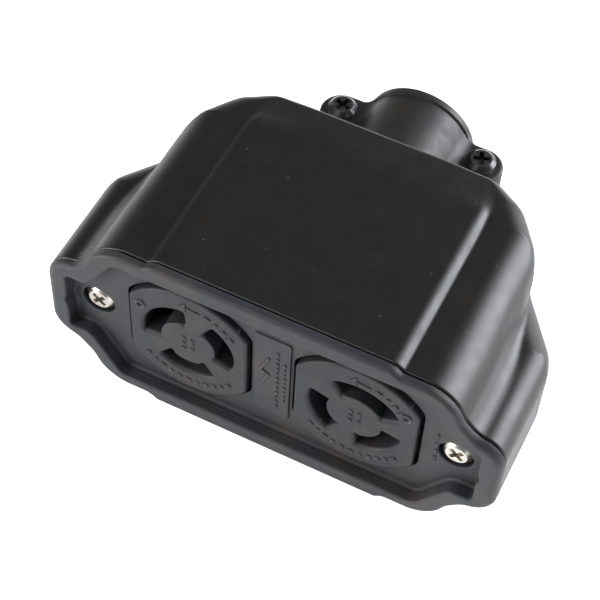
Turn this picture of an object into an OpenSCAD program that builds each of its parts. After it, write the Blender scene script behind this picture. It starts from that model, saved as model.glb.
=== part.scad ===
// Portable duplex outlet box with two locking sockets and a screwed cord clamp.
// X runs along the row of sockets, Y from the sockets to the cord clamp, Z is up.
// The box lies on its broad side: the origin is at the middle of its base.

/* [Sockets] */
// Distance between the centres of the two sockets
socket_pitch = 38.86; // [38:0.02:42]
// Radius of the round part of a socket face
socket_r = 16.6; // [16:0.1:16.8]
// Width of a socket face across its two flats
socket_flats = 27.8; // [26:0.1:28]
// Outer radius of the curved slots
slot_outer_r = 10.55; // [10:0.05:10.8]
// Inner radius of the curved slots
slot_inner_r = 6.4; // [6.2:0.05:7]
// Direction of the long slot in the left socket, in degrees
left_turn = 142.5; // [130:0.5:155]
// Direction of the long slot in the right socket, in degrees
right_turn = 74; // [60:0.5:86]

/* [Box] */
// Overall width, across the screw ears
box_w = 104.4; // [104:0.1:106]
// Overall height, across the two raised panels
box_h = 49.2; // [49:0.1:51]
// Height of the shoulders beside the raised panels
shoulder_h = 46.4; // [46:0.1:46.6]
// Height of the screw ears
ear_h = 25.1; // [25:0.1:26]
// Thickness of the housing wall
wall = 2.5; // [2.2:0.1:2.6]
// Depth from the socket faces to the back of the housing
back_y = 53.1; // [51.5:0.1:54]
// Distance between the two cover screws
cover_screw_pitch = 83.4; // [83.2:0.1:83.8]

/* [Cord clamp] */
// Outer radius of the cord neck
neck_r = 12.6; // [12.4:0.1:13]
// Radius inside the cord neck
neck_bore_r = 9.8; // [9:0.1:10]
// Radius between the grip ribs when the clamp is shut
grip_r = 6.5; // [5:0.1:8]
// Depth from the socket faces to the end of the cord neck
neck_end_y = 78.2; // [77:0.1:80]
// Distance between the two clamp screws
clamp_screw_pitch = 34.6; // [34.4:0.1:36]
// Depth from the socket faces to the clamp screws
clamp_screw_y = 70.8; // [69:0.1:71]

/* [Hidden] */
$fn = 48;
eps = 0.01;

// Colours
BLACK = [0.09, 0.09, 0.09];
COVER_GREY = [0.23, 0.24, 0.25];
FACE_GREY = [0.2, 0.21, 0.22];
BASE_BLACK = [0.12, 0.12, 0.13];
BRASS = [0.78, 0.62, 0.28];
TIN = [0.78, 0.77, 0.72];
GREEN = [0.1, 0.4, 0.15];

// Sides and poles
LEFT = -1;
RIGHT = 1;
GROUND = 0;
HOT = 1;
NEUTRAL = 2;

// Depths along Y, measured from the plane of the socket faces
rim_y = -2.1;
floor_y = 1.25;
seam_y = -0.15;
mouth_y = 0.15;
cover_back_y = 3.8;
boss_y = 5.45;
flange_back_y = 6.45;
base_back_y = 24.5;
pocket_end_y = 21.3;
link_y = 25.2;
link_t = 0.8;
clamp_y = back_y + 0.5;
lip_y = neck_end_y - 1.95;

// Outline of the box, seen from the front: one quadrant, each corner with its radius
ear_x = box_w / 2;
arc_step = 9;
groove_foot_x = 43.2;
groove_top_x = 39;
step_foot_x = 28.6;
step_top_x = 27.1;
foot_r = 4;
foot_rise = 2.6;
groove_angle = atan2((shoulder_h - ear_h) / 2, groove_foot_x - groove_top_x);
step_angle = atan2((box_h - shoulder_h) / 2, step_foot_x - step_top_x);

// Plan of the box, seen from above
ear_slant_y = 25.35;
ear_slant_per_y = 0.735;
waist_x = 42.7;
mouth_waist_x = 45.4;
corner_y = 38.8;
corner_x = 32.2;
corner_angle = atan2(waist_x - corner_x, back_y - corner_y);
back_round = 1.2;

// Recess in the front cover
recess_x = 47.3;
recess_ear_z = 8.6;
recess_foot_x = 42.1;
recess_top_x = 35.2;
recess_z = 19.5;

// Screws: the same machine screw throughout, and a thin one in the socket assemblies
screw_r = 1.75;
screw_head_r = 3.4;
screw_head_h = 2.2;
screw_clear = 0.08;
cover_screw_len = 16;
clamp_screw_len = 13;
terminal_len = 4.4;
thin_screw_r = 1.2;
thin_head_r = 2.3;
cover_screw_x = cover_screw_pitch / 2;
cover_head_y = 3.6;
clamp_screw_x = clamp_screw_pitch / 2;
insert_r = 2.9;
insert_len = 9;
cover_boss_r = 4.6;

// Clamp ears, measured from the middle of the neck
split = 0.15;
ear_r = 5.2;
upper_ear_z = 5;
lower_ear_z = -6.6;
nut_flats = 6;
nut_h = 2.8;

// Slots of one socket: how far each one turns from the long slot, and its spread
slot_turn = [0, -122.5, -235];
slot_span = [93, 73.5, 73.5];
lock_turn = 22;
contact_r = (slot_outer_r + slot_inner_r) / 2;

// Socket assemblies: flange held between cover and ribs, base behind it
face_crown = 0.6;
face_gap = 0.4;
flange_r = 19.2;
flange_w = 34.8;
base_r = 18.4;
base_w = 32.8;
tie_z = 14.6;
tie_head_y = 17.6;
tie_len = 14.8;
rib_z = 18.7;
rib_x = 5;
rib_w = 1.8;

// Contacts and links
leaf_y = 8;
leaf_t = 0.6;
leaf_spread = 40;
post_r = 3.2;
eye_r = 3.3;
strap_w = 4;
ground_run_z = 12.3;
hot_run_z = 4.3;

// Grip ribs in the neck, one on each side of the clamp screws
grip_rib_w = 2;
grip_ribs = [clamp_screw_y - 7, clamp_screw_y + 3];
lip_w = 0.5;

function unit(v) = v / norm(v);
function swing(a) = a > 180 ? a - 360 : a < -180 ? a + 360 : a;

// Points of one rounded corner at b, between its neighbours a and c
function corner(a, b, c, r) =
    let (u = unit(a - b), v = unit(c - b), half = acos(u * v) / 2)
    r < eps || half > 89.9 ? [b] :
    let (
        m = b + unit(u + v) * r / sin(half),
        p = b + u * r / tan(half) - m,
        q = b + v * r / tan(half) - m,
        from = atan2(p[1], p[0]),
        turn = swing(atan2(q[1], q[0]) - from),
        steps = max(1, ceil(abs(turn) / arc_step))
    )
    [for (i = [0 : steps]) m + r * [cos(from + turn * i / steps), sin(from + turn * i / steps)]];

// A closed outline from a list of [x, y, radius]
function rounded(list) =
    let (n = len(list), at = [for (p = list) [p[0], p[1]]])
    [for (i = [0 : n - 1]) each corner(at[(i + n - 1) % n], at[i], at[(i + 1) % n], list[i][2])];

// The four mirror images of one quadrant, in order around the outline
function four_fold(q) = concat(
    q,
    [for (i = [len(q) - 1 : -1 : 0]) [-q[i][0], q[i][1], q[i][2]]],
    [for (p = q) [-p[0], -p[1], p[2]]],
    [for (i = [len(q) - 1 : -1 : 0]) [q[i][0], -q[i][1], q[i][2]]]
);

// Both mirror images of one side of a plan, in order around the outline
function two_fold(q) = concat(q, [for (i = [len(q) - 1 : -1 : 0]) [-q[i][0], q[i][1], q[i][2]]]);

// Front outline moved inward by t
function box_outline(t) =
    let (g = tan(groove_angle / 2) * t, s = tan(step_angle / 2) * t)
    rounded(four_fold([
        [ear_x - t, ear_h / 2 - t, 6.5 - t],
        [groove_foot_x - g, ear_h / 2 - t, foot_r],
        [groove_top_x - g, shoulder_h / 2 - t, 7 - t],
        [step_foot_x - s, shoulder_h / 2 - t, 1],
        [step_top_x - s, box_h / 2 - t, 4 - t]
    ]));

// Plan of the whole box with its slanted ears, moved inward by t
function ear_plan(t) =
    let (end_y = back_y - t, end_x = ear_x - ear_slant_per_y * (end_y - ear_slant_y) - 1.24 * t)
    rounded(two_fold([
        [ear_x - t, mouth_y, 0],
        [ear_x - t, ear_slant_y - 0.33 * t, 14 - t],
        [end_x, end_y, 0]
    ]));

// Front outline without the ears, moved inward by t
function shoulder_outline(t) =
    let (
        g = tan(groove_angle / 2) * t,
        s = tan(step_angle / 2) * t,
        waist_z = ear_h / 2 + (groove_foot_x - mouth_waist_x) * tan(groove_angle)
    )
    rounded(four_fold([
        [mouth_waist_x - t, waist_z - tan(45 - groove_angle / 2) * t, 0],
        [groove_top_x - g, shoulder_h / 2 - t, 7 - t],
        [step_foot_x - s, shoulder_h / 2 - t, 1],
        [step_top_x - s, box_h / 2 - t, 4 - t]
    ]));

// Plan of the shoulders: narrower towards the back, with the back corners cut off; moved inward by t
function shoulder_plan(t) =
    rounded(two_fold([
        [mouth_waist_x - t, mouth_y, 0],
        [waist_x - t, corner_y - tan(corner_angle / 2) * t, 4 - t],
        [corner_x - tan(45 - corner_angle / 2) * t, back_y - t, 9 - t]
    ]));

// Side view of the box with its rounded back edges, moved inward by t
function side_view(t) = rounded([
    [mouth_y, -box_h / 2 + t, 0],
    [back_y - t, -box_h / 2 + t, max(back_round - t, 0)],
    [back_y - t, box_h / 2 - t, max(back_round - t, 0)],
    [mouth_y, box_h / 2 - t, 0]
]);

// Moves a piece from the middle of the socket plane to its place over the base
module place() {
    translate([0, -(rim_y + neck_end_y) / 2, box_h / 2]) children();
}

// Stands a flat X-Z shape up and gives it a depth from y0 to y1
module along_y(y0, y1) {
    translate([0, y1, 0]) rotate([90, 0, 0]) linear_extrude(height = y1 - y0) children();
}

// A round bar along Y
module bar_y(x, z, r, y0, y1) {
    along_y(y0, y1) translate([x, z]) circle(r = r);
}

// A ring sector between two radii and two angles
module sector(r0, r1, a0, a1) {
    reach = 1.6 * r1;
    intersection() {
        difference() {
            circle(r = r1);
            circle(r = r0);
        }
        polygon([
            [0, 0],
            reach * [cos(a0), sin(a0)],
            reach * [cos((a0 + a1) / 2), sin((a0 + a1) / 2)],
            reach * [cos(a1), sin(a1)]
        ]);
    }
}

// A disc with two upright flats
module flatted(r, w) {
    intersection() {
        circle(r = r);
        square([w, 2 * r + 2], center = true);
    }
}

function socket_x(side) = side * socket_pitch / 2;
function turn_of(side) = side == LEFT ? left_turn : right_turn;
function slot_mid(side, pole) = turn_of(side) + slot_turn[pole];
function slot_from(side, pole) = slot_mid(side, pole) - slot_span[pole] / 2;
function slot_to(side, pole) = slot_mid(side, pole) + slot_span[pole] / 2;
function terminal(side, pole) = [
    socket_x(side) + contact_r * cos(slot_mid(side, pole)),
    contact_r * sin(slot_mid(side, pole))
];

// ---------------------------------------------------------------- housing

// The box as a block, moved inward by t and running from y0
module block(t, y0) {
    intersection() {
        union() {
            intersection() {
                along_y(y0, back_y - t) polygon(box_outline(t));
                translate([0, 0, t - ear_h / 2 - foot_rise])
                    linear_extrude(height = ear_h + 2 * foot_rise - 2 * t) polygon(ear_plan(t));
            }
            intersection() {
                along_y(y0, back_y - t) polygon(shoulder_outline(t));
                translate([0, 0, -box_h]) linear_extrude(height = 2 * box_h) polygon(shoulder_plan(t));
            }
        }
        translate([-box_w, 0, 0]) rotate([90, 0, 90]) linear_extrude(height = 2 * box_w)
            polygon(side_view(t));
    }
}

// Post that holds a cover screw's insert, tied to the walls by ribs
module cover_post(side) {
    post_end = 20.5;
    web_x = 4.3;
    ear_in = ear_h / 2 - wall + eps;
    bar_y(side * cover_screw_x, 0, cover_boss_r, boss_y + 0.05, post_end);
    along_y(boss_y + 1, post_end) {
        translate([side * cover_screw_x - rib_w / 2, -ear_in]) square([rib_w, 2 * ear_in]);
        translate([side * (cover_screw_x + ear_x - wall) / 2 - web_x, -rib_w / 2])
            square([2 * web_x, rib_w]);
    }
}

// Ribs above and below a socket that hold its flange from behind
module flange_ribs(side) {
    rib_h = box_h / 2 - wall - rib_z + eps;
    for (up = [-1, 1], x = [-rib_x, rib_x])
        along_y(flange_back_y + 0.05, base_back_y)
            translate([socket_x(side) + x - rib_w / 2, up > 0 ? rib_z : -rib_z - rib_h])
                square([rib_w, rib_h]);
}

// Outline of a clamp ear pair seen from above: two eyes joined to the neck
module ear_plate() {
    for (side = [LEFT, RIGHT]) {
        translate([side * clamp_screw_x, clamp_screw_y]) circle(r = ear_r);
        translate([min(side * clamp_screw_x, 0), clamp_screw_y - ear_r])
            square([clamp_screw_x, 2 * ear_r]);
    }
}

// Solid neck with its end lip
module neck_bar(y0) {
    bar_y(0, 0, neck_r, y0, lip_y + eps);
    bar_y(0, 0, neck_r + lip_w, lip_y, neck_end_y);
}

// Bore of the neck with its grip ribs
module neck_bore(y0) {
    difference() {
        bar_y(0, 0, neck_bore_r, y0, neck_end_y + 1);
        for (y = grip_ribs)
            along_y(y, y + grip_rib_w) difference() {
                circle(r = neck_bore_r + 1);
                circle(r = grip_r);
            }
    }
}

module half_space(z0, z1) {
    translate([-box_w, -box_w, z0]) cube([2 * box_w, 4 * box_w, z1 - z0]);
}

module housing() place() color(BLACK) difference() {
    union() {
        difference() {
            block(0, mouth_y);
            block(wall, mouth_y - 1);
        }
        intersection() {
            block(wall - 0.2, mouth_y + 1);
            for (side = [LEFT, RIGHT]) {
                cover_post(side);
                flange_ribs(side);
            }
        }
        intersection() {
            union() {
                neck_bar(back_y - wall);
                translate([0, 0, lower_ear_z]) linear_extrude(height = -lower_ear_z) ear_plate();
            }
            half_space(-box_h, -split);
        }
    }
    neck_bore(back_y - wall - 1);
    for (side = [LEFT, RIGHT]) {
        bar_y(side * cover_screw_x, 0, insert_r + 0.05, boss_y - 1, boss_y + 0.1 + insert_len);
        bar_y(side * cover_screw_x, 0, screw_r + 0.35, boss_y, base_back_y);
        translate([side * clamp_screw_x, clamp_screw_y, lower_ear_z - 1]) {
            cylinder(r = screw_r + screw_clear, h = 8);
            cylinder(r = (nut_flats + 0.2) / sqrt(3), h = nut_h + 1.1, $fn = 6);
        }
    }
}

// ---------------------------------------------------------------- front cover

module front_cover() place() color(COVER_GREY) difference() {
    union() {
        along_y(rim_y, seam_y) polygon(box_outline(0));
        along_y(seam_y - eps, cover_back_y) polygon(box_outline(wall + 0.15));
        for (side = [LEFT, RIGHT])
            bar_y(side * cover_screw_x, 0, cover_boss_r, cover_back_y - eps, boss_y);
    }
    difference() {
        along_y(rim_y - 1, floor_y) polygon(rounded(four_fold([
            [recess_x, recess_ear_z, 1.8],
            [recess_foot_x, recess_ear_z, 3.5],
            [recess_top_x, recess_z, 2.5]
        ])));
        along_y(floor_y - 0.4, floor_y + 1) square([8.4, 27.6], center = true);
    }
    for (side = [LEFT, RIGHT]) {
        along_y(floor_y - 1, cover_back_y + 1) translate([socket_x(side), 0])
            flatted(socket_r + face_gap, socket_flats + 2 * face_gap);
        bar_y(side * cover_screw_x, 0, screw_head_r + 0.5, floor_y - 1, cover_head_y);
        bar_y(side * cover_screw_x, 0, screw_r + 0.25, cover_head_y - 1, boss_y + 1);
    }
}

// ---------------------------------------------------------------- sockets

module socket_face(side) place() color(FACE_GREY) difference() {
    translate([socket_x(side), 0, 0]) {
        intersection() {
            translate([0, face_crown, 0]) rotate([90, 0, 0])
                cylinder(r1 = socket_r, r2 = socket_r - face_crown, h = face_crown);
            along_y(0, 1) square([socket_flats, 2 * socket_r], center = true);
        }
        along_y(face_crown - eps, cover_back_y + 0.1) flatted(socket_r, socket_flats);
        along_y(cover_back_y + 0.05, flange_back_y) flatted(flange_r, flange_w);
    }
    translate([socket_x(side), 0, 0]) {
        for (pole = [GROUND, HOT, NEUTRAL])
            along_y(-1, flange_back_y + 1)
                sector(slot_inner_r, slot_outer_r, slot_from(side, pole), slot_to(side, pole));
        for (up = [-1, 1])
            bar_y(0, up * tie_z, thin_screw_r + 0.05, 2.6, flange_back_y + 1);
    }
}

module socket_base(side) place() color(BASE_BLACK) difference() {
    translate([socket_x(side), 0, 0])
        along_y(flange_back_y, base_back_y) flatted(base_r, base_w);
    translate([socket_x(side), 0, 0]) {
        for (pole = [GROUND, HOT, NEUTRAL]) {
            along_y(flange_back_y - 1, pocket_end_y) sector(
                slot_inner_r - 0.7, slot_outer_r + 0.75,
                slot_from(side, pole) - lock_turn - 2, slot_to(side, pole)
            );
            bar_y(
                contact_r * cos(slot_mid(side, pole)), contact_r * sin(slot_mid(side, pole)),
                3.3, pocket_end_y - 1, base_back_y + 1
            );
        }
        for (up = [-1, 1]) {
            bar_y(0, up * tie_z, thin_screw_r + 0.1, flange_back_y - 1, base_back_y + 1);
            bar_y(0, up * tie_z, thin_head_r + 0.3, tie_head_y, base_back_y + 1);
        }
    }
}

// A sprung pair of curved leaves on a back plate, with a threaded post behind
module contact(side, pole) place() color(BRASS) difference() {
    plate_y = pocket_end_y - 1;
    leaf_from = slot_from(side, pole) - lock_turn;
    union() {
        translate([socket_x(side), 0, 0]) {
            along_y(plate_y, pocket_end_y - 0.05) sector(
                slot_inner_r - 0.5, slot_outer_r + 0.55, leaf_from, slot_to(side, pole) - 3
            );
            along_y(leaf_y, plate_y + eps) for (r = [slot_inner_r - 0.5, slot_outer_r - 0.05])
                sector(r, r + leaf_t, leaf_from + 1, leaf_from + leaf_spread);
        }
        bar_y(terminal(side, pole)[0], terminal(side, pole)[1], post_r, plate_y + 0.5, link_y);
    }
    bar_y(
        terminal(side, pole)[0], terminal(side, pole)[1], screw_r + screw_clear,
        pocket_end_y, link_y + 1
    );
}

// A flat strap along a list of points, with a screwed eye at each end
module link(points) place() along_y(link_y, link_y + link_t) difference() {
    last = len(points) - 1;
    union() {
        for (i = [0 : last - 1]) {
            run = points[i + 1] - points[i];
            translate(points[i]) rotate(atan2(run[1], run[0])) translate([0, -strap_w / 2])
                square([norm(run), strap_w]);
        }
        for (i = [1 : last - 1]) translate(points[i]) circle(r = strap_w / 2 + 0.15);
        for (p = [points[0], points[last]]) translate(p) circle(r = eye_r);
    }
    for (p = [points[0], points[last]]) translate(p) circle(r = screw_r + 0.15);
}

module ground_link() color(TIN) link([
    terminal(LEFT, GROUND), [terminal(LEFT, GROUND)[0], ground_run_z],
    [terminal(RIGHT, GROUND)[0], ground_run_z], terminal(RIGHT, GROUND)
]);

module hot_link() color(BRASS) link([
    terminal(LEFT, HOT), [8, hot_run_z], [14.5, hot_run_z], [19, 0.8],
    [terminal(RIGHT, HOT)[0], -1], terminal(RIGHT, HOT)
]);

module neutral_link() color(TIN) link([
    terminal(LEFT, NEUTRAL), [terminal(RIGHT, NEUTRAL)[0] - 4, terminal(LEFT, NEUTRAL)[1]],
    [terminal(RIGHT, NEUTRAL)[0], terminal(LEFT, NEUTRAL)[1] + 3], terminal(RIGHT, NEUTRAL)
]);

// ---------------------------------------------------------------- screws

// A pan head screw that points along -Z from the underside of its head, with a cross recess
module screw(r, len, head_r, head_h) {
    cross_w = 0.3 * head_r;
    cross_reach = 0.55 * head_r;
    translate([0, 0, -len]) cylinder(r = r, h = len);
    difference() {
        union() {
            cylinder(r = head_r, h = 0.6 * head_h);
            translate([0, 0, 0.6 * head_h - eps])
                cylinder(r1 = head_r, r2 = 0.72 * head_r, h = 0.4 * head_h + eps);
        }
        for (turn = [0, 90]) rotate(turn) translate([-cross_reach, -cross_w / 2, 0.45 * head_h])
            cube([2 * cross_reach, cross_w, head_h]);
    }
}

module terminal_screw(side, pole) place()
    translate([terminal(side, pole)[0], link_y + link_t, terminal(side, pole)[1]])
        rotate([-90, 0, 0]) screw(screw_r, terminal_len, post_r, 2);

module socket_screws(side) place() color("silver") for (up = [-1, 1])
    translate([socket_x(side), tie_head_y, up * tie_z])
        rotate([-90, 0, 0]) screw(thin_screw_r, tie_len, thin_head_r, 1.6);

module cover_screw(side) place() color("silver")
    translate([side * cover_screw_x, cover_head_y, 0])
        rotate([90, 45, 0]) screw(screw_r, cover_screw_len, screw_head_r, screw_head_h);

module cover_insert(side) place() color(BRASS) difference() {
    bar_y(side * cover_screw_x, 0, insert_r, boss_y + 0.1, boss_y + 0.1 + insert_len);
    bar_y(side * cover_screw_x, 0, screw_r + screw_clear, boss_y - 1, boss_y + insert_len + 1);
}

// ---------------------------------------------------------------- cord clamp

module cord_clamp() place() color(BLACK) difference() {
    intersection() {
        union() {
            neck_bar(clamp_y);
            linear_extrude(height = upper_ear_z) ear_plate();
        }
        half_space(split, box_h);
    }
    neck_bore(clamp_y - 1);
    for (side = [LEFT, RIGHT]) translate([side * clamp_screw_x, clamp_screw_y, -1]) {
        cylinder(r = screw_r + screw_clear, h = 8);
        translate([0, 0, 1 + upper_ear_z]) cylinder(r = screw_head_r + 0.4, h = 4);
    }
}

module clamp_screw(side) place() color(BLACK)
    translate([side * clamp_screw_x, clamp_screw_y, upper_ear_z])
        rotate(side * 20) screw(screw_r, clamp_screw_len, screw_head_r, screw_head_h);

module clamp_nut(side) place() color("silver")
    translate([side * clamp_screw_x, clamp_screw_y, lower_ear_z + 0.1]) difference() {
        cylinder(r = nut_flats / sqrt(3), h = nut_h, $fn = 6);
        translate([0, 0, -1]) cylinder(r = screw_r + 0.05, h = nut_h + 2);
    }

housing();
front_cover();
socket_face(LEFT);  // left_socket_face
socket_face(RIGHT);  // right_socket_face
socket_base(LEFT);  // left_socket_base
socket_base(RIGHT);  // right_socket_base
contact(LEFT, GROUND);  // left_ground_contact
contact(LEFT, HOT);  // left_hot_contact
contact(LEFT, NEUTRAL);  // left_neutral_contact
contact(RIGHT, GROUND);  // right_ground_contact
contact(RIGHT, HOT);  // right_hot_contact
contact(RIGHT, NEUTRAL);  // right_neutral_contact
ground_link();
hot_link();
neutral_link();
color(GREEN) terminal_screw(LEFT, GROUND);  // left_ground_screw
color(BRASS) terminal_screw(LEFT, HOT);  // left_hot_screw
color("silver") terminal_screw(LEFT, NEUTRAL);  // left_neutral_screw
color(GREEN) terminal_screw(RIGHT, GROUND);  // right_ground_screw
color(BRASS) terminal_screw(RIGHT, HOT);  // right_hot_screw
color("silver") terminal_screw(RIGHT, NEUTRAL);  // right_neutral_screw
socket_screws(LEFT);  // left_socket_screws
socket_screws(RIGHT);  // right_socket_screws
cover_screw(LEFT);  // left_cover_screw
cover_screw(RIGHT);  // right_cover_screw
cover_insert(LEFT);  // left_cover_insert
cover_insert(RIGHT);  // right_cover_insert
cord_clamp();
clamp_screw(LEFT);  // left_clamp_screw
clamp_screw(RIGHT);  // right_clamp_screw
clamp_nut(LEFT);  // left_clamp_nut
clamp_nut(RIGHT);  // right_clamp_nut
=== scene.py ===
"""Looks for a portable duplex outlet box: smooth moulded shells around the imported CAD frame.

Shapes are written in millimetres from an origin midway between the socket faces: X runs along
the row of sockets, Y from their faces to the cord clamp, Z up from mid-thickness. Each moulding
is a signed field (negative inside) that is meshed on a grid of planes, and whose vertices are
then moved onto the field's zero surface. Pieces are symmetric left to right and top to bottom
unless they say otherwise, so most fields work on the absolute values of x and z.
"""

import math

import bpy
import numpy as np
from mathutils import Matrix, Vector


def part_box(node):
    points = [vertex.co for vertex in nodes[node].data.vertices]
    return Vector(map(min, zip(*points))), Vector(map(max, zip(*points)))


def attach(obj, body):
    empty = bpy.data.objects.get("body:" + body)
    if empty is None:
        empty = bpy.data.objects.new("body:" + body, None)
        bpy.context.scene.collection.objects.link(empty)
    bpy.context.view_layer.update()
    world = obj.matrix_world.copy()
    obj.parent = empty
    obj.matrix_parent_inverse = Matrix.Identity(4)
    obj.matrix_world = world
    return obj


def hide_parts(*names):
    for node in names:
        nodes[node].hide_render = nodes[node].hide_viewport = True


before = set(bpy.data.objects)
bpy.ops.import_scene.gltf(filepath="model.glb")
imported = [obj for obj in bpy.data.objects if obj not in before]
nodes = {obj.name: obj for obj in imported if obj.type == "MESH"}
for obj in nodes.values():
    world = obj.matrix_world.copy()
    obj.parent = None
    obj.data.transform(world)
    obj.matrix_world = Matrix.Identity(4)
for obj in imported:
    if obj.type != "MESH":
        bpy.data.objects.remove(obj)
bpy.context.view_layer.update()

MM = 0.001
COS_30 = 0.866
LEFT, RIGHT = -1, 1
SIDES = {"left": LEFT, "right": RIGHT}

# ------------------------------------------------------------ places, from the frame


box_low, box_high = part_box("housing")
origin = np.array([0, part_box("left_socket_face")[0].y, (box_low.z + box_high.z) / 2])


def place_of(node):
    """Lowest and highest corner of a CAD node, in millimetres from the origin."""
    low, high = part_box(node)
    return (np.array(low) - origin) / MM, (np.array(high) - origin) / MM


def middle_of(node):
    """Middle of a CAD node's box, in millimetres from the origin."""
    low, high = place_of(node)
    return (low + high) / 2


HALF_W, NECK_END_Y, HALF_H = place_of("housing")[1]
MOUTH_Y = place_of("housing")[0][1]
RIM_Y = place_of("front_cover")[0][1]
CLAMP_Y = place_of("cord_clamp")[0][1]
BACK_Y = CLAMP_Y - 0.5
SOCKET_X = middle_of("right_socket_face")[0]
COVER_SCREW_X = middle_of("right_cover_screw")[0]
COVER_HEAD_Y = place_of("right_cover_screw")[0][1] + 2.2
CLAMP_SCREW_X, CLAMP_SCREW_Y = middle_of("right_clamp_screw")[:2]
FLANGE_BACK_Y = place_of("left_socket_face")[1][1]

# Box: half heights of its three tiers, and the lines its slanted sides follow from tier to tier
EAR_H = 12.55
SHOULDER_H = 23.2
GROOVE = ((43.2, EAR_H), (39.0, SHOULDER_H))
STEP = ((28.3, SHOULDER_H), (27.0, HALF_H))
SHELL_BACK_Y = BACK_Y - 0.2
WAIST_X = 43.6
LEAN = 1.1
EAR_TAPER = 0.735
EAR_TAPER_Y = 25.35
EAR_END_Y = 47.5
CORNER_NORMAL = (0.813, 0.582)
CORNER_OFFSET = 56.9
WALL = 2.5
BOSS_R = 4.6
POST_END_Y = 20.5
INSERT_BORE_R = 2.95
INSERT_BORE_END_Y = 18

# Front cover: its recess has ears and a taller middle, each as (half width, half height)
SEAM_Y = -0.15
COVER_BACK_Y = 3.8
BOSS_Y = 5.45
FLOOR_Y = 1.25
OUTLINE_Y = 8.0
RECESS_EAR = (47.2, 8.6)
RECESS_MIDDLE = (35.2, 19.5)
RECESS_SLANT_X = 42.1
FACE_GAP = 0.65
LABEL_HALF = (4.2, 13.8)
SINK_R = 3.9
COVER_HOLE_R = 2

# Sockets: the first slot is the wide one; the others follow it round, as (turn, spread) in degrees
FACE_R = 16.6
FACE_W = 13.9
FLANGE_R = 19.2
FLANGE_W = 17.4
SLOT_R = 8.475
SLOT_W = 2.075
FIRST_SLOT = {LEFT: 142.5, RIGHT: 74}
SLOTS = ((0, 93), (-122.5, 73.5), (-235, 73.5))
PRINT_R = 12.9

# Neck and clamp
NECK_R = 12.6
LIP_R = NECK_R + 0.5
LIP_Y = NECK_END_Y - 1.95
BORE_R = 9.8
GRIP_R = 6.5
RIB_Y = (CLAMP_SCREW_Y - 6, CLAMP_SCREW_Y + 4)
RIB_HALF = 1
EAR_R = 5.2
UPPER_EAR_Z = 5.0
LOWER_EAR_Z = -6.6
CLAMP_HOLE_R = 1.83
NUT_FLAT = 3.1
NUT_TOP_Z = -3.7
SPLIT = 0.15


# ------------------------------------------------------------ signed fields


def both(a, b, r=0.0):
    """Inside both a and b, with the edge between them rounded over r."""
    if np.isscalar(r) and r == 0:
        return np.maximum(a, b)
    return np.minimum(np.maximum(a, b), -r) + np.hypot(np.maximum(a + r, 0), np.maximum(b + r, 0))


def either(a, b, r=0.0):
    """Inside a or b, with the corner between them filled over r."""
    return -both(-a, -b, r)


def without(a, b, r=0.0):
    """Inside a but not b."""
    return both(a, -b, r)


def slant(u, v, line):
    """Distance beyond the line through two points of the u-v plane, positive on its high u side."""
    (u0, v0), (u1, v1) = line
    du, dv = u1 - u0, v1 - v0
    return (dv * (u - u0) - du * (v - v0)) / math.hypot(du, dv)


def smooth(t):
    """A step from 0 to 1 as t goes from 0 to 1, level at both ends."""
    t = np.clip(t, 0, 1)
    return t * t * (3 - 2 * t)


def box_body(x, y, z):
    """The whole box as one rounded block, solid through and with no front."""
    ax, az = np.abs(x), np.abs(z)

    # The ear on each side, at mid-thickness: it tapers in towards the back.
    taper = (ax - HALF_W + EAR_TAPER * (y - EAR_TAPER_Y)) / math.hypot(1, EAR_TAPER)
    ear_side = both(ax - HALF_W, taper, 2.5)
    ear = both(both(ear_side, y - EAR_END_Y, 2.0), az - EAR_H, 6.2)

    # The block between the ears, seen from above: it leans out towards the mouth.
    lean = LEAN * smooth((28 - y) / 18) * np.clip((SHOULDER_H - az) / (SHOULDER_H - EAR_H), 0, 1)
    waist = ax - WAIST_X - lean + 2 * smooth((y - 26) / 12)
    side = both(slant(ax - lean, az, GROOVE), waist, 1.2)
    corner = CORNER_NORMAL[0] * ax + CORNER_NORMAL[1] * y - CORNER_OFFSET
    plan = both(both(side, corner, 1.6), y - SHELL_BACK_Y, 4.3)

    # Its top: shoulders and a raised panel, whose step fades out as it rounds over to the back.
    rise = 0.4 * smooth((y - 36) / 12)
    fade = smooth((y - 42) / 10)
    crown = 0.9 * np.clip((y - 42) / 11, 0, 1.2) ** 2 + 0.9 * fade * smooth((ax - 15) / 12)
    panel = both(slant(ax, az, STEP), az - (HALF_H - crown), 1.0 + 2 * fade)
    top = either(az - SHOULDER_H - rise, panel, 0.4 + 0.8 * fade)
    block = both(plan, top, 1.0 + 4.1 * smooth((ax - 24) / 7))

    foot_r = 4.2 - 3.5 * smooth((y - 18) / 16) - 0.7 * smooth((y - 44) / 4)
    return either(block, ear, foot_r)


# ------------------------------------------------------------ meshing


def planes(*stretches):
    """Grid planes from a first value on, through stretches of (end, about this spacing)."""
    at = [stretches[0]]
    for end, spacing in stretches[1:]:
        count = max(1, round((end - at[-1]) / spacing))
        at += list(np.linspace(at[-1], end, count + 1)[1:])
    return np.array(at)


def mirrored(at):
    """Grid planes on both sides of zero from those on the positive side."""
    return np.concatenate([-at[::-1][: -1 if at[0] == 0 else None], at])


def gradient(field, points, h=0.02):
    """Slope of a field at points, from differences over a small distance h."""
    slope = np.empty_like(points)
    for axis in range(3):
        step = np.zeros(3)
        step[axis] = h
        slope[:, axis] = (field(*(points + step).T) - field(*(points - step).T)) / (2 * h)
    return slope


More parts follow.
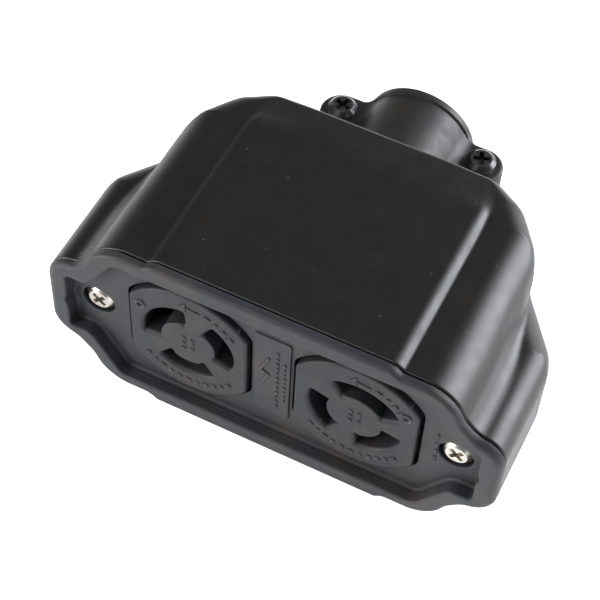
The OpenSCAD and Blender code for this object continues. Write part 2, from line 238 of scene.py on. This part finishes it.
def surface(field, xs, ys, zs):
    """Vertices, quads and normals of the zero surface of a field on a grid of planes.

    Each cell that the surface crosses gets one vertex, and each grid edge that it crosses gets
    a quad between the four cells around that edge.
    """
    grid = np.meshgrid(xs, ys, zs, indexing="ij")
    value = field(*grid)
    inside = value < 0
    count = np.zeros(tuple(n - 1 for n in value.shape), int)
    corners = [(a, b, c) for a in (0, 1) for b in (0, 1) for c in (0, 1)]

    def part(array, shift):
        a, b, c = shift
        n = array.shape
        return array[a : n[0] - 1 + a, b : n[1] - 1 + b, c : n[2] - 1 + c]

    for shift in corners:
        count += part(inside, shift)
    mixed = (count > 0) & (count < 8)
    cells = np.argwhere(mixed)
    index = np.full(mixed.shape, -1)
    index[mixed] = np.arange(len(cells))
    total = np.zeros((len(cells), 3))
    hits = np.zeros(len(cells))
    at = [xs, ys, zs]
    for axis in range(3):
        others = [k for k in range(3) if k != axis]
        for b in (0, 1):
            for c in (0, 1):
                low = cells.copy()
                low[:, others[0]] += b
                low[:, others[1]] += c
                high = low.copy()
                high[:, axis] += 1
                v0, v1 = value[tuple(low.T)], value[tuple(high.T)]
                cut = (v0 < 0) != (v1 < 0)
                t = np.where(cut, v0 / np.where(cut, v0 - v1, 1), 0)
                point = np.stack([at[k][low[:, k]] for k in range(3)], 1)
                run = at[axis][high[:, axis]] - at[axis][low[:, axis]]
                point[:, axis] += t * run
                total[cut] += point[cut]
                hits += cut
    verts = total / hits[:, None]
    quads = []
    for axis in range(3):
        a, b = [k for k in range(3) if k != axis]
        last = inside.shape[axis] - 1
        before = inside.take(range(last), axis)
        after = inside.take(range(1, last + 1), axis)
        low = np.argwhere(before != after)
        keep = np.all([(low[:, k] > 0) & (low[:, k] < inside.shape[k] - 1) for k in (a, b)], 0)
        low = low[keep]
        ring = []
        for da, db in ((-1, -1), (0, -1), (0, 0), (-1, 0)):
            cell = low.copy()
            cell[:, a] += da
            cell[:, b] += db
            ring.append(index[tuple(cell.T)])
        quad = np.stack(ring, 1)
        flip = inside[tuple(low.T)] == (axis == 1)
        quad[flip] = quad[flip][:, ::-1]
        quads.append(quad)
    spacing = min(np.diff(a).min() for a in at)
    for _ in range(5):
        slope = gradient(field, verts)
        size = np.maximum((slope * slope).sum(1), 0.04)
        step = -(field(*verts.T) / size)[:, None] * slope
        length = np.linalg.norm(step, axis=1, keepdims=True)
        verts += step * np.minimum(1, spacing / np.maximum(length, 1e-9))
    normal = gradient(field, verts)
    normal /= np.maximum(np.linalg.norm(normal, axis=1, keepdims=True), 1e-9)
    return verts, np.concatenate(quads), normal


def piece(name, field, grid, body, slot, material, *replaced):
    """A moulded piece from a field: meshed, placed in the shared frame and riding on its body."""
    verts, quads, normal = surface(field, *grid)
    mesh = bpy.data.meshes.new(name)
    mesh.from_pydata((verts * MM + origin).tolist(), [], quads.tolist())
    mesh.shade_smooth()
    mesh.normals_split_custom_set_from_vertices(normal.tolist())
    mesh.materials.append(material)
    o = bpy.data.objects.new(name, mesh)
    bpy.context.scene.collection.objects.link(o)
    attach(o, body)
    if replaced:
        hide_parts(*replaced)


# ------------------------------------------------------------ materials


class Shader:
    """A node material built up step by step in object coordinates, in millimetres."""

    def __init__(self, name):
        self.material = bpy.data.materials.new(name)
        self.material.use_nodes = True
        self.tree = self.material.node_tree
        self.shader = self.tree.nodes["Principled BSDF"]
        coords = self.tree.nodes.new("ShaderNodeTexCoord")
        scale = self.tree.nodes.new("ShaderNodeVectorMath")
        scale.operation = "SCALE"
        scale.inputs["Scale"].default_value = 1 / MM
        self.link(coords.outputs["Object"], scale.inputs[0])
        self.mm = scale.outputs[0]

    def link(self, out, into):
        self.tree.links.new(out, into)

    def set(self, **values):
        """Plain values for the shader's inputs, with _ for each space in their names."""
        for key, value in values.items():
            self.shader.inputs[key.replace("_", " ")].default_value = value

    def noise(self, size, detail=3.0, rough=0.5, stretch=(1, 1, 1)):
        """Noise with features about size millimetres across."""
        mapping = self.tree.nodes.new("ShaderNodeMapping")
        mapping.inputs["Scale"].default_value = stretch
        self.link(self.mm, mapping.inputs["Vector"])
        n = self.tree.nodes.new("ShaderNodeTexNoise")
        n.inputs["Scale"].default_value = 1 / size
        n.inputs["Detail"].default_value = detail
        n.inputs["Roughness"].default_value = rough
        self.link(mapping.outputs[0], n.inputs["Vector"])
        return n.outputs["Fac"]

    def ramp(self, source, *stops):
        """A ramp of (place, value or colour) stops."""
        r = self.tree.nodes.new("ShaderNodeValToRGB")
        elements = r.color_ramp.elements
        while len(elements) < len(stops):
            elements.new(0.5)
        for element, (at, value) in zip(elements, stops):
            element.position = at
            element.color = (*value, 1) if hasattr(value, "__len__") else (value, value, value, 1)
        self.link(source, r.inputs["Fac"])
        return r.outputs["Color"]

    def mix(self, factor, a, b):
        """From a to b as the factor goes from 0 to 1, where each is a colour or an output."""
        m = self.tree.nodes.new("ShaderNodeMix")
        m.data_type = "RGBA"
        self.link(factor, m.inputs["Factor"])
        for slot, value in ((m.inputs[6], a), (m.inputs[7], b)):
            if hasattr(value, "default_value"):
                self.link(value, slot)
            else:
                slot.default_value = (*value, 1)
        return m.outputs[2]

    def edges(self):
        """White on outer edges, where mouldings wear."""
        g = self.tree.nodes.new("ShaderNodeNewGeometry")
        return self.ramp(g.outputs["Pointiness"], (0.52, 0), (0.6, 1))

    def bump(self, source, height, strength=1.0):
        """Bump of a height in millimetres, on top of any earlier one."""
        b = self.tree.nodes.new("ShaderNodeBump")
        b.inputs["Distance"].default_value = height * MM
        b.inputs["Strength"].default_value = strength
        self.link(source, b.inputs["Height"])
        normal = self.shader.inputs["Normal"]
        if normal.links:
            self.link(normal.links[0].from_socket, b.inputs["Normal"])
        self.link(b.outputs["Normal"], normal)

    def colour(self, source):
        self.link(source, self.shader.inputs["Base Color"])

    def roughness(self, source):
        self.link(source, self.shader.inputs["Roughness"])


SMUDGE = (2.4, 1.7, 1.1)
DUST = (0.4, 0.4, 0.4)


def scaled(colour, by):
    """A colour times one factor, or times one for each of its channels."""
    return tuple(np.multiply(colour, by).tolist())


def moulded(name, base, worn, rough, grain, grain_height, dust=0.0, shine=0.5, painted_shade=0.0):
    """A moulded plastic: fine grain, faint flow marks, smudges, worn edges, dust, and painted shade
    that darkens its hollows and corners.

    The roughness runs between two values, and the grain's size and height are in millimetres.
    """
    s = Shader(name)
    s.set(Specular_IOR_Level=shine)
    scuff = s.noise(9, 6, 0.65, (1, 0.35, 1))
    tone = s.mix(s.ramp(scuff, (0.35, 0.0), (0.75, 1.0)), base, scaled(base, 1.25))
    smudge = s.ramp(s.noise(13, 6, 0.68, (1, 0.5, 1)), (0.48, 0.0), (0.72, 0.7))
    tone = s.mix(smudge, tone, scaled(base, SMUDGE))
    tone = s.mix(s.edges(), tone, worn)
    if dust:
        specks = s.ramp(s.noise(1.1, 2), (0.755, 0.0), (0.79, dust))
        tone = s.mix(specks, tone, DUST)
    # Painted shade: where ambient occlusion finds surfaces close by, in recesses, corners and between
    # parts, the colour is darkened towards a tenth of the base.
    if painted_shade:
        hidden = s.tree.nodes.new("ShaderNodeAmbientOcclusion")
        hidden.inputs["Distance"].default_value = 5 * MM
        hidden.samples = 8
        shade = s.ramp(hidden.outputs["AO"], (0.35, 1 - painted_shade), (0.85, 1.0))
        tone = s.mix(shade, scaled(base, 0.1), tone)
    s.colour(tone)
    low, high = rough
    s.roughness(s.ramp(s.noise(5, 6, 0.7), (0.3, low), (0.7, high)))
    s.bump(s.noise(grain, 2), grain_height)
    s.bump(s.noise(22, 2), 0.05, 0.5)
    return s.material


def metal(name, base, rough):
    """A plated or turned metal with fine scratches."""
    s = Shader(name)
    patina = s.ramp(s.noise(1.6, 5, 0.6), (0.3, 0.0), (0.8, 1.0))
    s.colour(s.mix(patina, base, scaled(base, 0.72)))
    s.set(Metallic=1.0)
    s.roughness(s.ramp(s.noise(0.8, 6, 0.7), (0.3, rough), (0.7, rough + 0.14)))
    s.bump(s.noise(0.12, 3, 0.6, (1, 6, 1)), 0.01)
    return s.material


BLACK = moulded(
    "black_gloss",
    base=(0.006, 0.006, 0.0058),
    worn=(0.03, 0.03, 0.031),
    rough=(0.36, 0.46),
    grain=0.35,
    grain_height=0.003,
    dust=0.2,
)
BLACK_NECK = moulded(
    "black_neck",
    base=(0.012, 0.0118, 0.0114),
    worn=(0.035, 0.034, 0.033),
    rough=(0.42, 0.62),
    grain=0.5,
    grain_height=0.012,
)
BLACK_MATT = moulded(
    "black_matt",
    base=(0.006, 0.006, 0.0062),
    worn=(0.016, 0.016, 0.016),
    rough=(0.5, 0.65),
    grain=0.3,
    grain_height=0.01,
    shine=0.2,
)
# The cover's grey, with shade painted darker into its recess and corners.
GREY = moulded(
    "cover_grey",
    base=(0.03, 0.033, 0.039),
    worn=(0.066, 0.069, 0.076),
    rough=(0.45, 0.58),
    grain=0.28,
    grain_height=0.02,
    dust=0.3,
    shine=0.26,
    painted_shade=0.8,
)
# The socket faces' grey, with lighter shade painted into their hollows.
FACE_GREY = moulded(
    "face_grey",
    base=(0.0225, 0.025, 0.03),
    worn=(0.09, 0.094, 0.1),
    rough=(0.4, 0.52),
    grain=0.28,
    grain_height=0.02,
    dust=0.3,
    shine=0.24,
    painted_shade=0.4,
)
BRASS = metal("brass", (0.72, 0.52, 0.22), 0.28)
NICKEL = metal("nickel", (0.64, 0.61, 0.56), 0.2)
TIN = metal("tin", (0.7, 0.69, 0.65), 0.35)
STEEL = metal("zinc_steel", (0.55, 0.56, 0.58), 0.3)
GREEN = metal("green_zinc", (0.05, 0.3, 0.1), 0.3)
BLACK_SCREW = moulded(
    "black_oxide",
    base=(0.012, 0.012, 0.013),
    worn=(0.06, 0.06, 0.06),
    rough=(0.18, 0.3),
    grain=0.2,
    grain_height=0.004,
)


# ------------------------------------------------------------ housing


def housing(x, y, z):
    """The hollow box with its open mouth, insert posts and the cord's hole through the back."""
    body = box_body(x, y, z)
    outer = both(body, MOUTH_Y - y, 0.6)
    shell = without(outer, body + WALL)
    post_r = np.hypot(np.abs(x) - COVER_SCREW_X, z)
    post = both(post_r - BOSS_R, np.maximum(BOSS_Y + 0.05 - y, y - POST_END_Y))
    shell = either(shell, both(post, body + 1), 0.3)
    bore = np.maximum(post_r - INSERT_BORE_R, y - INSERT_BORE_END_Y)
    cord_hole = both(np.hypot(x, z) - BORE_R, BACK_Y - 6 - y)
    return without(without(shell, bore), cord_hole)


fine_x = mirrored(planes(0, (24, 1.5), (30, 0.45), (38, 0.8), (44.5, 0.5), (HALF_W + 0.5, 0.6)))
fine_z = mirrored(planes(0, (11, 0.9), (14.5, 0.45), (21, 0.7), (HALF_H + 0.4, 0.35)))
deep_y = planes(MOUTH_Y - 0.3, (1.4, 0.17), (5, 0.6), (42, 1.2), (50, 0.6), (BACK_Y + 0.4, 0.3))
piece(
    "housing_shell",
    housing,
    (fine_x, deep_y, fine_z),
    "outlet_box",
    "housing_plastic",
    BLACK,
    "housing",
)


# ------------------------------------------------------------ neck and clamp


def neck_half(x, y, z, ear_z, root_y, upper):
    """Half of the split neck: a tube with an end lip, screw ears and two grip ribs in its bore."""
    r = np.hypot(x, z)
    across, along = np.abs(x) - CLAMP_SCREW_X, np.abs(y - CLAMP_SCREW_Y)
    screw_r = np.hypot(across, along)

    tube = both(r - NECK_R, np.maximum(root_y - y, y - NECK_END_Y + 0.5), 0.4)
    lip = both(r - LIP_R, np.maximum(LIP_Y - y, y - NECK_END_Y), 0.45)
    plate = either(screw_r - EAR_R, np.maximum(along - EAR_R, across))
    plate = both(plate, np.abs(z) - ear_z, 0.7)
    solid = either(either(tube, lip, 0.25), plate, 2.2)

    rib = np.minimum(np.abs(y - RIB_Y[0]), np.abs(y - RIB_Y[1])) - RIB_HALF
    bore = without(r - BORE_R, np.maximum(rib, GRIP_R - r), 0.2)
    solid = without(solid, bore, 0.3)
    solid = without(solid, screw_r - CLAMP_HOLE_R)
    if upper:
        return both(solid, SPLIT - z, 0.2)

    # The hexagonal pocket for the captive nut, open to the underside of the lower ear.
    flats = np.maximum(along, COS_30 * np.abs(across) + 0.5 * along)
    nut = np.maximum(flats - NUT_FLAT, z - NUT_TOP_Z)
    return without(both(solid, SPLIT + z, 0.2), nut)


def clamp(x, y, z):
    return neck_half(x, y, z, UPPER_EAR_Z, CLAMP_Y, True)


def neck(x, y, z):
    return neck_half(x, y, z, -LOWER_EAR_Z, BACK_Y - 1, False)


neck_x = mirrored(planes(0, (CLAMP_SCREW_X + EAR_R + 0.4, 0.4)))
neck_y = planes(BACK_Y - 1.4, (LIP_Y - 12, 0.8), (NECK_END_Y + 0.3, 0.3))
half_z = planes(-0.2, (5, 0.3), (NECK_R + 0.8, 0.4))
piece(
    "clamp_shell",
    clamp,
    (neck_x, neck_y, half_z),
    "cord_clamp",
    "housing_plastic",
    BLACK_NECK,
    "cord_clamp",
)
piece(
    "neck_shell",
    neck,
    (neck_x, neck_y, -half_z[::-1]),
    "outlet_box",
    "housing_plastic",
    BLACK_NECK,
)

# ------------------------------------------------------------ front cover


def bar(u, v, ends, half):
    """A straight raised bar with round ends, in the plane of the front."""
    (u0, v0), (u1, v1) = ends
    du, dv = u1 - u0, v1 - v0
    t = np.clip(((u - u0) * du + (v - v0) * dv) / (du * du + dv * dv), 0, 1)
    return np.hypot(u - u0 - t * du, v - v0 - t * dv) - half


def dashes(along, across, length, count, half=0.28):
    """A row of short raised dashes in place of small print, running from 0 to -length along."""
    pitch = length / count
    place = np.clip(np.round(-along / pitch - 0.5), 0, count - 1)
    off = -along - (place + 0.5) * pitch
    reach = pitch * (0.26 + 0.08 * np.cos(2.4 * place))
    return both(np.abs(off) - reach, np.abs(across) - half, 0.1)


def label_marks(x, z):
    """A plain bolt and two rows of dashes on the label panel."""
    bolt = ((-0.8, 6.4), (-2.7, 1.7), (-0.7, 0.6), (-2.6, -3.8))
    marks = np.minimum(dashes(z - 10, x - 1.3, 21, 12, 0.32), dashes(z - 7, x - 3.0, 15, 9, 0.25))
    for ends in zip(bolt, bolt[1:]):
        marks = np.minimum(marks, bar(x, z, ends, 0.4))
    return marks


def cover(x, y, z):
    """The front cover: a rim around a recessed floor with openings, label panel and bosses."""
    ax, az = np.abs(x), np.abs(z)
    screw_r = np.hypot(ax - COVER_SCREW_X, z)
    # The rim carries on the box's own outline, as it is a little behind the mouth.
    outline = box_body(ax, np.full_like(y, OUTLINE_Y), az)
    rim_r = 1.15 + 0.85 * smooth((ax - 40) / 10)
    rim = both(both(outline, RIM_Y - y, rim_r), y - SEAM_Y, 0.15)
    spigot = np.maximum(outline + WALL + 0.15, np.maximum(SEAM_Y - 0.5 - y, y - COVER_BACK_Y))
    boss = both(screw_r - BOSS_R, y - BOSS_Y)
    solid = either(either(rim, spigot), np.maximum(boss, 2 - y))

    # The recess, drafted so that it opens towards the front, less what stands up from its floor.
    ear_x, ear_z = RECESS_EAR
    middle_x, middle_z = RECESS_MIDDLE
    ear = both(ax - ear_x, az - ear_z, 0.8)
    shoulder = slant(ax, az, ((RECESS_SLANT_X, ear_z), (middle_x, middle_z)))
    middle = both(az - middle_z, shoulder, 1.1)
    recess = either(ear, middle, 1.6) + 0.12 * (y - FLOOR_Y)
    void = both(recess, y - FLOOR_Y, 0.7)
    label = both(ax - LABEL_HALF[0], az - LABEL_HALF[1], 0.7)
    void = without(void, both(label, 0.8 - y, 0.2))
    void = without(void, both(label_marks(x, z), 0.5 - y, 0.12))
    void = without(void, both(dashes(z - 5.5, x - 37.4, 11, 4), 0.95 - y, 0.12))
    solid = without(solid, void, 0.45)

    u = ax - SOCKET_X
    opening = both(np.hypot(u, z) - FACE_R - FACE_GAP, np.abs(u) - FACE_W - FACE_GAP, 0.5)
    solid = without(solid, opening, 0.2)
    sink = np.maximum(screw_r - SINK_R, y - COVER_HEAD_Y)
    return without(without(solid, sink, 0.25), screw_r - COVER_HOLE_R)


cover_x = mirrored(planes(0, (5, 0.25), (33, 0.42), (40, 0.3), (HALF_W + 0.4, 0.42)))
cover_z = mirrored(planes(0, (14, 0.3), (HALF_H + 0.4, 0.42)))
cover_y = planes(RIM_Y - 0.3, (1.6, 0.17), (6, 0.6))
piece(
    "cover_shell",
    cover,
    (cover_x, cover_y, cover_z),
    "cover",
    "cover_plastic",
    GREY,
    "front_cover",
)

# ------------------------------------------------------------ socket faces


def slot_field(u, v, middle, spread):
    """A curved slot around a middle angle in degrees, and the radius that rounds its edge.

    The edge is rounded more along the slot's outer side and at its two ends.
    """
    angle, half = math.radians(middle), math.radians(spread / 2)
    out = u * math.cos(angle) + v * math.sin(angle)
    aside = np.abs(v * math.cos(angle) - u * math.sin(angle))
    r = np.hypot(u, v)
    end = aside * math.cos(half) - out * math.sin(half)
    ease = np.maximum(smooth((r - SLOT_R) / SLOT_W), smooth(1 + end / 1.2))
    return both(np.abs(r - SLOT_R) - SLOT_W, end, 0.35), 0.3 + 0.8 * ease


def face_marks(side, u, v):
    """A turn arrow, an earth ring and small print stand-ins around the slots."""
    r, a = np.hypot(u, v), np.degrees(np.arctan2(v, u))
    arc = both(np.abs(r - PRINT_R) - 0.3, np.abs(a - 84) - 7, 0.1)
    head = np.maximum(np.abs(r - PRINT_R) - 0.19 * (99 - a), np.maximum(91 - a, a - 99) * 0.22)
    degree = math.radians(1) * PRINT_R
    print_top = dashes((a - 74) * degree, r - PRINT_R, 40 * degree, 4, 0.7)
    low = np.where(a > 0, a - 360, a)
    print_low = dashes((low + 40) * degree, r - PRINT_R - 0.5, 100 * degree, 11, 0.55)
    ring = np.abs(np.hypot(u - side * 11.1, v - 7.6) - 0.95) - 0.3
    middle = np.minimum(dashes(v - 2.6, u + 0.9, 5.2, 3, 0.5), dashes(v - 2.6, u - 1.1, 5.2, 2, 0.45))
    marks = np.minimum(np.minimum(arc, head), np.minimum(print_top, print_low))
    return np.minimum(marks, np.minimum(ring, middle))


def socket_face(side):
    """The field of one socket's face: a disc with two flats, on the flange that holds it."""

    def field(x, y, z):
        u = x - side * SOCKET_X
        r = np.hypot(u, z)
        disc = both(both(r - FACE_R, np.abs(u) - FACE_W, 0.4), -y, 0.7)
        flange = both(r - FLANGE_R, np.abs(u) - FLANGE_W, 0.4)
        flange = np.maximum(flange, COVER_BACK_Y + 0.05 - y)
        solid = np.maximum(either(disc, flange), y - FLANGE_BACK_Y)
        solid = either(solid, both(face_marks(side, u, z), np.abs(y) - 0.28, 0.12), 0.05)
        for turn, spread in SLOTS:
            slot, ease = slot_field(u, z, FIRST_SLOT[side] + turn, spread)
            solid = without(solid, slot, ease)
        return solid

    return field


for label, side in SIDES.items():
    face_x = side * SOCKET_X + mirrored(planes(0, (14.2, 0.22), (17.7, 0.5)))
    face_z = mirrored(planes(0, (17, 0.22), (19.5, 0.5)))
    face_y = planes(-0.6, (1.2, 0.16), (FLANGE_BACK_Y + 0.3, 0.8))
    node = f"{label}_socket_face"
    piece(
        f"{node}_shell",
        socket_face(side),
        (face_x, face_y, face_z),
        "outlet_box",
        "face_plastic",
        FACE_GREY,
        node,
    )

# ------------------------------------------------------------ CAD nodes that stay

# How each of their names ends, and what they are made of
KEPT = {
    "socket_base": BLACK_MATT,
    "contact": BRASS,
    "ground_link": TIN,
    "hot_link": BRASS,
    "neutral_link": TIN,
    "ground_screw": GREEN,
    "hot_screw": BRASS,
    "neutral_screw": NICKEL,
    "socket_screws": STEEL,
    "cover_screw": NICKEL,
    "cover_insert": BRASS,
    "clamp_screw": BLACK_SCREW,
    "clamp_nut": STEEL,
}
for name, o in nodes.items():
    for ending, material in KEPT.items():
        if name.endswith(ending):
            o.data.materials.clear()
            o.data.materials.append(material)

# ------------------------------------------------------------ camera, floor and light

CAMERA_AT = np.array([81.98, -175.86, 298.5])
CAMERA_RIGHT = Vector((0.8959, 0.4428, 0.0359))
CAMERA_DOWN = Vector((0.3786, -0.7187, -0.5833))
camera_data = bpy.data.cameras.new("camera")
camera_data.lens = 102.5
camera_data.sensor_width = 36
camera_data.clip_start = 0.01
camera = bpy.data.objects.new("camera", camera_data)
bpy.context.scene.collection.objects.link(camera)
forward = CAMERA_RIGHT.cross(CAMERA_DOWN).normalized()
up = -CAMERA_DOWN.normalized()
right = forward.cross(up).normalized()
up = right.cross(forward)
rotation = Matrix((right, up, -forward)).transposed().to_4x4()
camera.matrix_world = Matrix.Translation(Vector(origin + CAMERA_AT * MM)) @ rotation
bpy.context.scene.camera = camera

FLOOR_REACH = 3.0
floor_corners = [
    (-FLOOR_REACH, -FLOOR_REACH, 0),
    (FLOOR_REACH, -FLOOR_REACH, 0),
    (FLOOR_REACH, FLOOR_REACH, 0),
    (-FLOOR_REACH, FLOOR_REACH, 0),
]
floor_mesh = bpy.data.meshes.new("floor")
floor_mesh.from_pydata(floor_corners, [], [(0, 1, 2, 3)])
floor = bpy.data.objects.new("floor", floor_mesh)
bpy.context.scene.collection.objects.link(floor)
paper = Shader("floor_paper")
paper.colour(paper.ramp(paper.noise(40, 3), (0.3, 0.86), (0.7, 0.9)))
paper.roughness(paper.ramp(paper.noise(6, 3), (0.3, 0.85), (0.7, 0.95)))
paper.set(Emission_Color=(1, 1, 1, 1), Emission_Strength=0.8)
floor_mesh.materials.append(paper.material)


def area_light(name, at, aim, size, power, tint=(1, 1, 1)):
    """A rectangular light at one place in metres, facing another."""
    data = bpy.data.lights.new(name, "AREA")
    data.shape = "RECTANGLE"
    data.size, data.size_y = size
    data.energy = power
    data.color = tint
    light = bpy.data.objects.new(name, data)
    light.location = at
    light.rotation_euler = (Vector(aim) - Vector(at)).to_track_quat("-Z", "Y").to_euler()
    bpy.context.scene.collection.objects.link(light)


FRONT = (0, -0.03, 0.02)
BACK = (0, 0.03, 0.03)
area_light("right_back_box", (0.88, 0.77, 0.5), BACK, (0.8, 0.86), 28, (0.93, 0.95, 1))
area_light("left_front_box", (-0.24, -0.22, 0.08), FRONT, (0.12, 0.1), 0.6, (1, 0.94, 0.88))
area_light("front_fill", (-0.6, -1.0, 0.25), FRONT, (0.5, 0.4), 1.7)
area_light("top_front_box", (-0.35, -0.62, 0.9), FRONT, (0.6, 0.2), 3.5)
area_light("back_card", (-0.2, 1.3, 0.2), BACK, (1.2, 0.35), 2.6, (1, 0.93, 0.86))

world = bpy.data.worlds.new("studio")
bpy.context.scene.world = world
world.use_nodes = True
world.node_tree.nodes["Background"].inputs["Color"].default_value = (0.95, 0.97, 1.0, 1)
world.node_tree.nodes["Background"].inputs["Strength"].default_value = 0.22

bpy.context.scene.view_settings.view_transform = "Standard"
